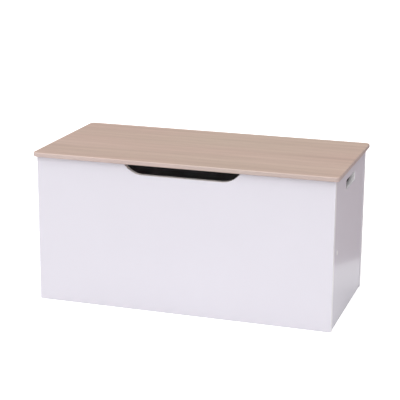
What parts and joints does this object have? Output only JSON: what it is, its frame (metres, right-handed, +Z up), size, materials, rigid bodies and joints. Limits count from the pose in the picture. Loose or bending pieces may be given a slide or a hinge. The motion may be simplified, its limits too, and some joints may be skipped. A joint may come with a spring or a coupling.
{
  "type": "toy box",
  "caption": "Rectangular lidded toy box with a finger cut-out at the front, an oblong handle slot in each end, a hinged wooden lid and telescopic lid stays.",
  "frame": {"origin": "on the floor, under the middle of the closed lid", "axes": "+X to the right along the width as seen from the front, +Y from the front to the back, +Z up"},
  "size_m": [0.805, 0.4, 0.4],
  "materials": {
    "white_board": "white painted board, satin, slightly glossy",
    "lid_wood": "light straight-grained wood, satin lacquer",
    "plain_wood": "plain unfinished softwood and beech",
    "white_plastic": "matt white moulded plastic",
    "soft_rubber": "translucent soft rubber",
    "zinc": "zinc-plated steel",
    "steel": "plated steel",
    "chrome": "polished hard chrome",
    "grey_metal": "satin grey paint on steel tube"
  },
  "bodies": {
    "box": {"front_panel": "white_board", "back_panel": "white_board", "left_side_panel": "white_board", "right_side_panel": "white_board", "bottom_panel": "white_board", "front_batten": "plain_wood", "rear_batten": "plain_wood", "left_batten": "plain_wood", "right_batten": "plain_wood", "left_cam_bolt": "steel", "left_cam_lock": "steel", "left_cam_cap": "white_plastic", "left_dowel_lower": "plain_wood", "left_dowel_upper": "plain_wood", "left_rear_screw_lower": "steel", "left_rear_screw_middle": "steel", "left_rear_screw_upper": "steel", "left_hinge_box_leaf": "zinc", "left_hinge_pin": "zinc", "left_hinge_box_screw_left": "zinc", "left_hinge_box_screw_right": "zinc", "left_stay_side_bracket": "zinc", "left_stay_side_screw_upper": "zinc", "left_stay_side_screw_lower": "zinc", "left_bumper": "soft_rubber", "right_cam_bolt": "steel", "right_cam_lock": "steel", "right_cam_cap": "white_plastic", "right_dowel_lower": "plain_wood", "right_dowel_upper": "plain_wood", "right_rear_screw_lower": "steel", "right_rear_screw_middle": "steel", "right_rear_screw_upper": "steel", "right_hinge_box_leaf": "zinc", "right_hinge_pin": "zinc", "right_hinge_box_screw_left": "zinc", "right_hinge_box_screw_right": "zinc", "right_stay_side_bracket": "zinc", "right_stay_side_screw_upper": "zinc", "right_stay_side_screw_lower": "zinc", "right_bumper": "soft_rubber"},
    "lid": {"lid_panel": "lid_wood", "left_hinge_lid_leaf": "zinc", "left_hinge_lid_screw_left": "zinc", "left_hinge_lid_screw_right": "zinc", "left_stay_lid_bracket": "zinc", "left_stay_lid_screw_front": "zinc", "left_stay_lid_screw_rear": "zinc", "right_hinge_lid_leaf": "zinc", "right_hinge_lid_screw_left": "zinc", "right_hinge_lid_screw_right": "zinc", "right_stay_lid_bracket": "zinc", "right_stay_lid_screw_front": "zinc", "right_stay_lid_screw_rear": "zinc"},
    "left_rod": {"left_stay_rod": "chrome"},
    "left_cylinder": {"left_stay_cylinder": "grey_metal"},
    "right_rod": {"right_stay_rod": "chrome"},
    "right_cylinder": {"right_stay_cylinder": "grey_metal"}
  },
  "joints": [
    {"name": "lid_hinge", "type": "hinge", "parent": "box", "child": "lid", "pos_m": [0, 0.1943, 0.3848], "axis": [-1, 0, 0], "range_deg": [0, 85]},
    {"name": "left_rod_pivot", "type": "hinge", "parent": "box", "child": "left_rod", "pos_m": [-0.3625, 0.1523, 0.25096], "axis": [-1, 0, 0], "range_deg": [0, 42.5]},
    {"name": "left_cylinder_pivot", "type": "hinge", "parent": "lid", "child": "left_cylinder", "pos_m": [-0.3625, 0.0543, 0.376], "axis": [-1, 0, 0], "range_deg": [-42.5, 0]},
    {"name": "right_rod_pivot", "type": "hinge", "parent": "box", "child": "right_rod", "pos_m": [0.3625, 0.1523, 0.25096], "axis": [-1, 0, 0], "range_deg": [0, 42.5]},
    {"name": "right_cylinder_pivot", "type": "hinge", "parent": "lid", "child": "right_cylinder", "pos_m": [0.3625, 0.0543, 0.376], "axis": [-1, 0, 0], "range_deg": [-42.5, 0]}
  ],
  "couplings": [
    {"joint": "left_rod_pivot", "follows": "lid_hinge", "ratio": 0.5},
    {"joint": "left_cylinder_pivot", "follows": "lid_hinge", "ratio": -0.5},
    {"joint": "right_rod_pivot", "follows": "lid_hinge", "ratio": 0.5},
    {"joint": "right_cylinder_pivot", "follows": "lid_hinge", "ratio": -0.5}
  ]
}
